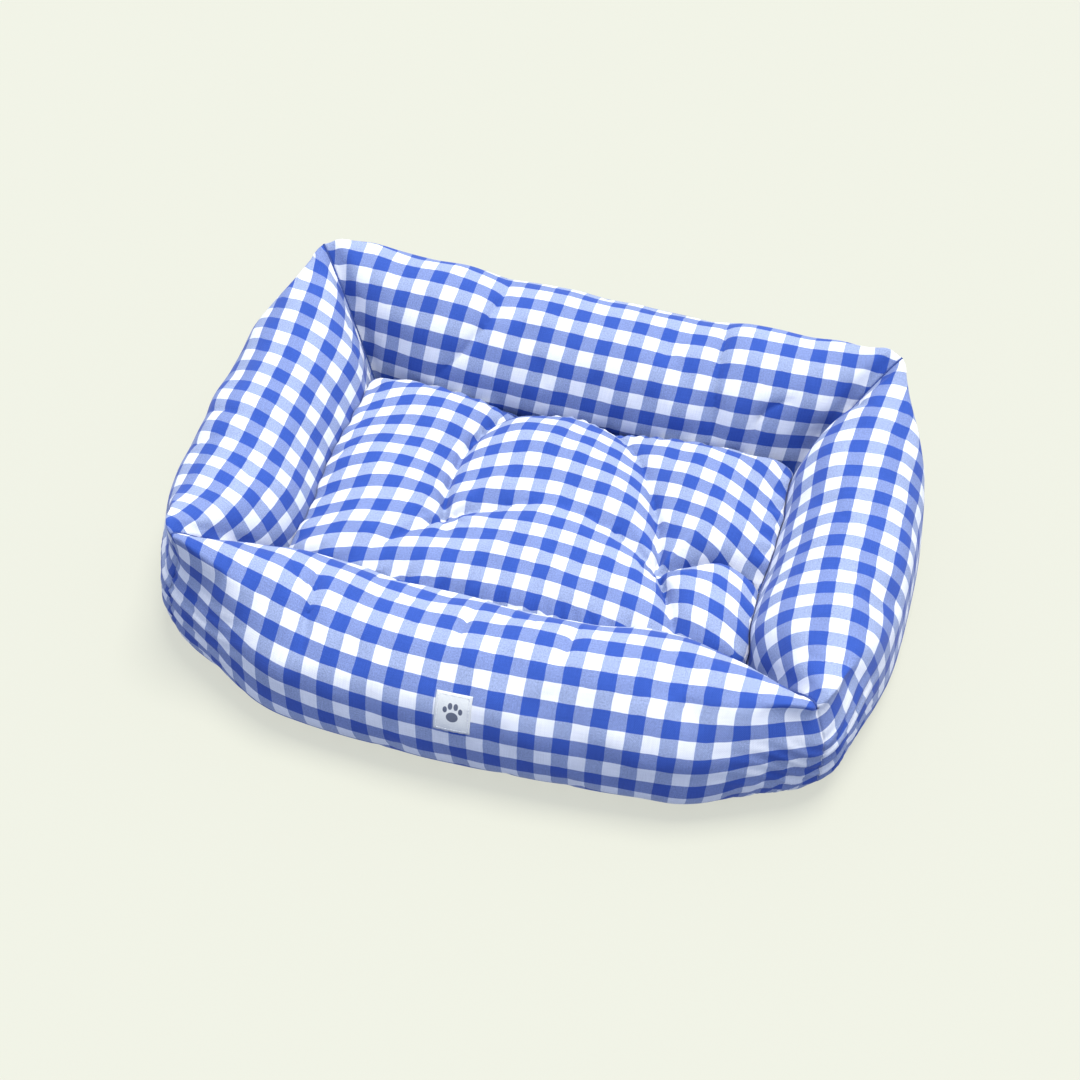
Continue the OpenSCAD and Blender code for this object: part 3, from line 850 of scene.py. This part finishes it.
def make_cushion():
    n, m = odd(2 * EDGE_X, CUSHION_STEP), odd(2 * EDGE_Y, CUSHION_STEP)
    tree = nest_tree()
    top, bottom = (push_off_walls(grid, tree) for grid in cushion_grids(n, m))
    top_uv = refine(refine(flatten(top[::2, ::2])))
    top, bottom = refine(top), refine(bottom)
    x, y = top_uv[..., 0], top_uv[..., 1]
    top_uv = np.stack([x * CUSHION_LAY[0], y * CUSHION_LAY[1] - CUSHION_LAY[2] * x ** 2], -1)
    n, m = top.shape[:2]
    size = n * m
    faces = grid_faces(n, m) + grid_faces(n, m, size, flip=True)
    index = np.arange(size).reshape(n, m)
    rim = np.zeros((n, m), bool)
    rim[0], rim[-1], rim[:, 0], rim[:, -1] = True, True, True, True
    weld = {size + k: k for k in index[rim].tolist()}
    faces = [[weld.get(k, k) for k in face] for face in faces]
    keep = np.array([k not in weld for k in range(2 * size)])
    renumber = np.cumsum(keep) - 1
    faces = [[int(renumber[k]) for k in face] for face in faces]
    verts = np.concatenate([top.reshape(-1, 3), bottom.reshape(-1, 3)])[keep]
    coords = np.concatenate([top_uv.reshape(-1, 2), bottom[..., :2].reshape(-1, 2)])[keep]
    piece = mesh_piece("cushion_pad", verts, faces, gingham("gingham_cushion", CUSHION_SHIFT), coords)
    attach(piece, "cushion")
    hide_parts("cushion_top_panel", "cushion_bottom_panel", "cushion_fill")
    return top, bottom


CUSHION_LAY = (1.10, 1.05, -1.0)
CUSHION_SHIFT = (-0.020, -0.010)
cushion_top, cushion_bottom = make_cushion()


# ---------------------------------------------------------------- seams, label, base and ties

def tube(path, radius, sides=8, closed=False, beads=0.0, pitch=0.003):
    """Vertices and faces of a round cord along a path; beads swell it every pitch, like stitches."""
    path = np.array(path, float)
    if closed:
        tangent = unit(np.roll(path, -1, 0) - np.roll(path, 1, 0))
    else:
        tangent = unit(np.gradient(path, axis=0))
    side = unit(np.cross(tangent, [0.13, 0.21, 1.0]))
    other = np.cross(tangent, side)
    steps = np.linalg.norm(np.diff(path, axis=0, prepend=path[:1]), axis=1).cumsum()
    size = radius * (1 + beads * np.cos(2 * math.pi * steps / pitch))
    turn = (np.arange(sides) * 2 * math.pi / sides)[None, :]
    ring = side[:, None] * np.cos(turn)[..., None] + other[:, None] * np.sin(turn)[..., None]
    verts = (path[:, None] + ring * size[:, None, None]).reshape(-1, 3)
    n = len(path)
    faces = []
    for i in range(n if closed else n - 1):
        for k in range(sides):
            a, b = i * sides + k, i * sides + (k + 1) % sides
            c, d = (i + 1) % n * sides + (k + 1) % sides, (i + 1) % n * sides + k
            faces.append([a, b, c, d])
    if not closed:
        faces += [list(range(sides))[::-1], [(n - 1) * sides + k for k in range(sides)]]
    return verts, faces


def join(parts):
    """One list of vertices and one of faces from several."""
    verts, faces, start = [], [], 0
    for some_verts, some_faces in parts:
        verts.append(np.asarray(some_verts))
        faces += [[start + k for k in face] for face in some_faces]
        start += len(some_verts)
    return np.concatenate(verts), faces


def evenly(path, step):
    """Points at even steps along a path."""
    path = np.array(path, float)
    steps = np.linalg.norm(np.diff(path, axis=0), axis=1)
    keep = np.concatenate([[True], steps > 1e-6])
    path = path[keep]
    length = np.concatenate([[0], np.cumsum(np.linalg.norm(np.diff(path, axis=0), axis=1))])
    count = max(2, round(length[-1] / step) + 1)
    where = np.linspace(0, length[-1], count)
    return np.stack([np.interp(where, length, path[:, k]) for k in range(3)], 1)


def on_skin(side, along, across):
    """Places and normals on a bolster at the given cloth coordinates, found by a few Newton steps."""
    grid, uv = skins[side]
    normals = grid_normals(grid)
    n, m = grid.shape[:2]
    target = np.stack([along, across], -1)
    i = np.full(along.shape, (n - 1) / 2)
    j = np.full(along.shape, (m - 1) * 0.3)

    def sample(field, i, j):
        i0, j0 = np.clip(i.astype(int), 0, n - 2), np.clip(j.astype(int), 0, m - 2)
        s, t = (i - i0)[..., None], (j - j0)[..., None]
        return ((field[i0, j0] * (1 - t) + field[i0, j0 + 1] * t) * (1 - s)
                + (field[i0 + 1, j0] * (1 - t) + field[i0 + 1, j0 + 1] * t) * s)

    for _ in range(25):
        here = sample(uv, i, j)
        di = sample(uv, np.clip(i + 0.5, 0, n - 1), j) - sample(uv, np.clip(i - 0.5, 0, n - 1), j)
        dj = sample(uv, i, np.clip(j + 0.5, 0, m - 1)) - sample(uv, i, np.clip(j - 0.5, 0, m - 1))
        miss = target - here
        det = di[..., 0] * dj[..., 1] - di[..., 1] * dj[..., 0]
        i = np.clip(i + (miss[..., 0] * dj[..., 1] - miss[..., 1] * dj[..., 0]) / det, 0.5, n - 1.5)
        j = np.clip(j + (di[..., 0] * miss[..., 1] - di[..., 1] * miss[..., 0]) / det, 0.5, m - 1.5)
    return sample(grid, i, j), unit(sample(normals, i, j))


seam_cloth = plain_cloth("seam_blue", (0.05, 0.09, 0.30), 0.0009)
thread = plain_cloth("thread_white", (0.85, 0.86, 0.88), 0.0004)
SEAM_RADIUS = 0.0010
EDGE_SEAM_RADIUS = 0.0009
BINDING_RADIUS = 0.0011
STITCH_RADIUS = 0.00022
TUFT_THREAD_RADIUS = 0.0006
TUFT_BAR = 0.0045                     # half the length of the bar of thread in a dimple
STRAND_GAP = 0.0011


def make_corner_seams():
    """The sewn line where two bolsters meet, from the tip down to the nest floor."""
    for side in SIDES:
        corner, grid = CORNERS[side][0], skins[side][0]
        path = evenly(grid[0, round(grid.shape[1] * TIP_RUN / SECTION_RUN):], 0.0015)
        verts, faces = tube(path, SEAM_RADIUS, beads=0.16, pitch=0.0045)
        seam = mesh_piece(corner + "_seam", verts, faces, seam_cloth)
        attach(seam, "bed")
        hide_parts(corner + "_corner_seam")


make_corner_seams()

# The label, in cloth coordinates of the front bolster
LABEL_CENTRE = (-0.020, 0.0725)
LABEL_SIZE = (0.032, 0.034)
LABEL_THICK = 0.0009
LABEL_EDGE = 0.0022                   # how far in the stitches run
STITCH_LENGTH = 0.0026


def label_material():
    """Woven ribbon with a small plain paw on it, in thread."""
    mat, m, shader = material("label_ribbon")
    vector, (x, y, _) = m.cloth()
    # pads of the paw: centre, half width and half height
    pads = [(0.0, -0.0035, 0.0052, 0.0042), (-0.0068, 0.0022, 0.0019, 0.0026),
            (-0.0025, 0.0056, 0.0020, 0.0029), (0.0025, 0.0056, 0.0020, 0.0029),
            (0.0068, 0.0022, 0.0019, 0.0026)]
    nearest = None
    for cx, cy, rx, ry in pads:
        dx = m.op("DIVIDE", m.sub(x, cx), rx)
        dy = m.op("DIVIDE", m.sub(y, cy), ry)
        distance = m.add(m.mul(dx, dx), m.mul(dy, dy))
        nearest = distance if nearest is None else m.op("MINIMUM", nearest, distance)
    paw = m.ramp(nearest, 0.9, 1.1, 1.0, 0.0)
    rib = m.sine(y, 2 * math.pi / 0.0007)
    satin = m.sine(m.add(x, m.mul(y, 0.4)), 2 * math.pi / 0.0009)
    speck = m.noise(vector, 1500.0, 2.0)
    ground = m.mix(m.ramp(m.add(m.mul(rib, 0.2), speck), 0.2, 0.8),
                   (0.62, 0.63, 0.61, 1), (0.76, 0.77, 0.74, 1))
    inked = m.mix(m.ramp(satin, -1.0, 1.0), (0.07, 0.08, 0.11, 1), (0.16, 0.18, 0.24, 1))
    height = m.add(m.mul(rib, 0.3), m.mul(paw, 0.8))
    m.feed(shader, {"Base Color": m.mix(paw, ground, inked), "Roughness": 0.8, "Specular IOR Level": 0.2,
                    "Normal": m.bump(m.add(height, speck), 0.5, 0.0003)})
    return mat


def on_label(a, b):
    """Places and normals under the label, by lengths from its middle."""
    return on_skin("front", LABEL_CENTRE[0] + a, LABEL_CENTRE[1] + b)


def make_label():
    """The ribbon, which follows the bolster's skin, and the running stitches that hold it."""
    n, m = 25, 27
    across_label = np.linspace(-0.5, 0.5, n) * LABEL_SIZE[0]
    up_label = np.linspace(-0.5, 0.5, m) * LABEL_SIZE[1]
    a, b = np.meshgrid(across_label, up_label, indexing="ij")
    places, normals = on_label(a, b)
    rim = np.maximum(np.abs(a) / LABEL_SIZE[0], np.abs(b) / LABEL_SIZE[1]) * 2
    bulge = 0.0005 * (1 - rim ** 2) + 0.0002 * np.sin(a * 900) * (rim > 0.8)
    top = places + normals * (LABEL_THICK + bulge)[..., None]
    low = places + normals * 0.00015
    verts = np.concatenate([top.reshape(-1, 3), low.reshape(-1, 3)])
    faces = grid_faces(n, m) + grid_faces(n, m, n * m, flip=True)
    index = np.arange(n * m).reshape(n, m)
    ring = rim_of(index)
    for k in range(len(ring)):
        p, q = int(ring[k]), int(ring[(k + 1) % len(ring)])
        faces.append([q, p, p + n * m, q + n * m])
    coords = np.stack([a, b], -1).reshape(-1, 2)
    label = mesh_piece("label", verts, faces, label_material(), np.concatenate([coords, coords]))
    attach(label, "bed")
    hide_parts("side_label")

    half = np.array(LABEL_SIZE) / 2 - LABEL_EDGE
    stitches = []
    for side in range(4):
        length = 2 * half[0] if side % 2 == 0 else 2 * half[1]
        count = round(length / STITCH_LENGTH)
        for k in range(count):
            t = (k + np.linspace(0.12, 0.88, 7)) / count * 2 - 1
            line = {0: (t * half[0], -half[1] + 0 * t), 1: (half[0] + 0 * t, t * half[1]),
                    2: (-t * half[0], half[1] + 0 * t), 3: (-half[0] + 0 * t, -t * half[1])}[side]
            spots, up = on_label(*line)
            arch = LABEL_THICK + 0.0001 + 0.0003 * np.sin(math.pi * np.linspace(0, 1, 7))
            stitches.append(tube(spots + up * arch[:, None], STITCH_RADIUS, sides=6))
    verts, faces = join(stitches)
    sewn = mesh_piece("label_stitches", verts, faces, thread)
    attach(sewn, "bed")
    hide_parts("label_stitching")


make_label()

underside_cloth = plain_cloth("underside_canvas", (0.10, 0.15, 0.35), 0.0014)
PANEL_TOP = FOOT_Z - 0.0001
PANEL_LOW = 0.0006
PANEL_INSET = 0.003
GRIP_PITCH = 0.030
GRIP_RADIUS = 0.003
QUILT_WAVE = 105                      # waves of the nest floor's quilting, in radians per metre
QUILT_DEPTH = 0.0006
QUILT_PUFF = 0.0010


def outline(column, inset):
    """The four bolsters' first or last grid columns as one closed loop, moved towards the middle."""
    loop = np.concatenate([skins[side][0][:-1, column] for side in SIDES])
    return loop - unit(loop * (1, 1, 0)) * inset


def slab(loop, shares, high, low):
    """A closed flat pad inside a loop: its top and bottom heights are functions of place."""
    count = len(loop)
    middle = loop.mean(0)
    rings = []
    for height, outward in ((high, shares), (low, shares[::-1])):
        for share in outward:
            ring = middle + (loop - middle) * share
            ring[:, 2] = height(ring[:, 0], ring[:, 1], share)
            rings.append(ring)
    x, y = middle[:2]
    verts = [np.array([[x, y, high(x, y, 0)]]), *rings, np.array([[x, y, low(x, y, 0)]])]
    faces = []
    last = 1 + len(rings) * count
    for k in range(count):
        after = (k + 1) % count
        faces.append([0, 1 + k, 1 + after])
        for start in range(1, last - count, count):
            a, b = start, start + count
            faces.append([a + k, b + k, b + after, a + after])
        faces.append([last, last - count + after, last - count + k])
    return np.concatenate(verts), faces


def level(height):
    """A flat face for slab(), at one height."""
    return lambda x, y, share: np.asarray(x) * 0 + height


def make_base():
    """Nest floor of the same check over wadding, the plain underside with its grip dots, and the binding."""
    shares = np.linspace(0, 1, 40)[1:]

    def quilt(x, y, share):
        puff = QUILT_PUFF * (1 - np.asarray(share) ** 8)
        tufted = QUILT_DEPTH * np.cos(np.asarray(x) * QUILT_WAVE) * np.cos(np.asarray(y) * QUILT_WAVE)
        return NEST_FLOOR - 0.0016 + puff + tufted * (share < 1)

    inner = outline(-1, 0.0015)
    verts, faces = slab(inner[::2], shares, quilt, level(FOOT_Z + 0.0002))
    pad = mesh_piece("nest_floor", verts, faces, gingham("gingham_nest"), verts[:, :2])
    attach(pad, "bed")
    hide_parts("base_upper_panel", "base_wadding")

    outer = outline(0, PANEL_INSET)
    parts = [slab(outer[::2], shares[::3], level(PANEL_TOP), level(PANEL_LOW))]
    ring = np.array([(math.cos(k * math.pi / 5), math.sin(k * math.pi / 5)) for k in range(10)])
    dot_faces = [[a + 10 + (k + 1) % 10, a + 10 + k, a + k, a + (k + 1) % 10]
                 for a in (0, 10) for k in range(10)]
    dot_faces += [list(range(10)), [29 - k for k in range(10)]]
    reach_x, reach_y = np.abs(outer[:, 0]).max(), np.abs(outer[:, 1]).max()
    for x in np.arange(-10, 11) * GRIP_PITCH:
        for y in np.arange(-8, 9) * GRIP_PITCH:
            if ((abs(x) / (reach_x - 0.015)) ** 3 + (abs(y) / (reach_y - 0.015)) ** 3) < 1:
                rings = [np.c_[ring * GRIP_RADIUS * s + (x, y), np.full(10, z)]
                         for s, z in ((1.0, PANEL_LOW + 0.0002), (0.94, 0.0003), (0.55, 0.0))]
                parts.append((np.concatenate(rings), dot_faces))
    verts, faces = join(parts)
    under = mesh_piece("underside", verts, faces, underside_cloth)
    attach(under, "bed")
    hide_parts("base_lower_panel")

    path = outline(0, 0.0)
    path[:, 2] = FOOT_Z
    verts, faces = tube(path, BINDING_RADIUS, closed=True, beads=0.12, pitch=0.006)
    binding = mesh_piece("binding", verts, faces, seam_cloth)
    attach(binding, "bed")
    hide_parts("base_binding")


make_base()


def make_cushion_seam():
    """The sewn edge round the cushion, where its two panels meet."""
    verts, faces = tube(rim_of(cushion_top), EDGE_SEAM_RADIUS, sides=6, closed=True, beads=0.15, pitch=0.0045)
    seam = mesh_piece("cushion_seam", verts, faces, seam_cloth)
    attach(seam, "cushion")
    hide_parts("cushion_edge_seam")


def height_at(grid, place):
    """Height of the grid's point that is nearest in plan."""
    away = np.linalg.norm(grid[..., :2] - np.array(place), axis=-1)
    return grid[np.unravel_index(away.argmin(), away.shape)][2]


def make_tufts():
    """A bar of thread in each dimple, tied through the cushion to one below."""
    for name, tuft in zip(("left", "right"), TUFTS):
        high, low = height_at(cushion_top, tuft), height_at(cushion_bottom, tuft)
        parts = []
        for strand in (-1, 0, 1):
            t = np.linspace(0, 1, 60)
            x = tuft[0] - TUFT_BAR * np.cos(2 * math.pi * t)
            z = (high + low) / 2 + (high - low + 0.0014) / 2 * np.clip(1.6 * np.sin(2 * math.pi * t), -1, 1)
            path = np.stack([x, tuft[1] + strand * STRAND_GAP + 0 * t, z], 1)[:-1]
            parts.append(tube(path, TUFT_THREAD_RADIUS, sides=6, closed=True, beads=0.15, pitch=0.0012))
        verts, faces = join(parts)
        tie = mesh_piece(name + "_tuft_thread", verts, faces, thread)
        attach(tie, "cushion")
        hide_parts(name + "_tuft_tie")


make_cushion_seam()
make_tufts()


# ---------------------------------------------------------------- floor, light and camera

FLOOR_CREAM = (0.913, 0.922, 0.799)
FLOOR_GLOW = 0.65        # share of the floor's brightness that no shadow takes away
FLOOR_HALF = 9


def floor_material():
    mat, m, shader = material("pale_floor")
    grain = m.noise(m.coords("Object"), 3.0, 3.0)
    lit = tuple(c * (1 - FLOOR_GLOW) * 0.5 for c in FLOOR_CREAM)
    colour = m.mix(grain, tuple(c * 0.99 for c in lit) + (1,), tuple(c * 1.01 for c in lit) + (1,))
    m.feed(shader, {"Base Color": colour, "Roughness": 0.95, "Specular IOR Level": 0.0,
                    "Emission Color": FLOOR_CREAM + (1,), "Emission Strength": FLOOR_GLOW})
    return mat


floor_corners = [(x * FLOOR_HALF, y * FLOOR_HALF, 0) for x, y in ((-1, -1), (1, -1), (1, 1), (-1, 1))]
floor = mesh_piece("floor", floor_corners, [(0, 1, 2, 3)], floor_material())
floor.visible_diffuse = False          # BOUNCE_LIGHT takes the place of the cream light it would throw up

SKY_LIGHT = (0.77, 0.885, 1.21, 1)
BOUNCE_LIGHT = (0.32, 0.38, 0.58, 1)   # light from below the horizon
SKY_STRENGTH = 0.78
SUN_FROM = (0.10, 0.27, 1.0)
SUN_STRENGTH = 4.0
SUN_ANGLE = math.radians(28)           # a wide sun, for soft shadows
SUN_COLOUR = (1.0, 0.975, 0.870)


def make_light():
    """One soft sun, and a sky whose lower half is darker."""
    sun = bpy.data.lights.new("key", "SUN")
    sun.energy, sun.angle, sun.color = SUN_STRENGTH, SUN_ANGLE, SUN_COLOUR
    key = add_object("key", sun)
    key.rotation_euler = Vector(SUN_FROM).to_track_quat("Z", "Y").to_euler()
    world = bpy.data.worlds.new("studio")
    bpy.context.scene.world = world
    world.use_nodes = True
    m = Maths(world.node_tree)
    share = m.ramp(m.split(m.coords("Generated"))[2], -0.05, 0.02)
    m.feed(m.nodes["Background"], {"Color": m.mix(share, BOUNCE_LIGHT, SKY_LIGHT), "Strength": SKY_STRENGTH})


make_light()
bpy.context.scene.view_settings.view_transform = "Standard"

CAMERA_AT = np.array([0.284, -1.268, 1.479])
CAMERA_AIM = np.array([-0.007, 0.003, 0.0])
CAMERA_ROLL = math.radians(3.0)
LENS, SENSOR = 70.6, 36


def make_camera():
    data = bpy.data.cameras.new("camera")
    data.sensor_width, data.lens = SENSOR, LENS
    camera = add_object("camera", data)
    back = unit(CAMERA_AT - CAMERA_AIM)
    right = unit(np.cross([0, 0, 1], back))
    up = np.cross(back, right)
    cos, sin = math.cos(CAMERA_ROLL), math.sin(CAMERA_ROLL)
    matrix = np.eye(4)
    matrix[:3] = np.stack([right * cos + up * sin, up * cos - right * sin, back, CAMERA_AT], 1)
    camera.matrix_world = Matrix(matrix.tolist())
    bpy.context.scene.camera = camera


make_camera()
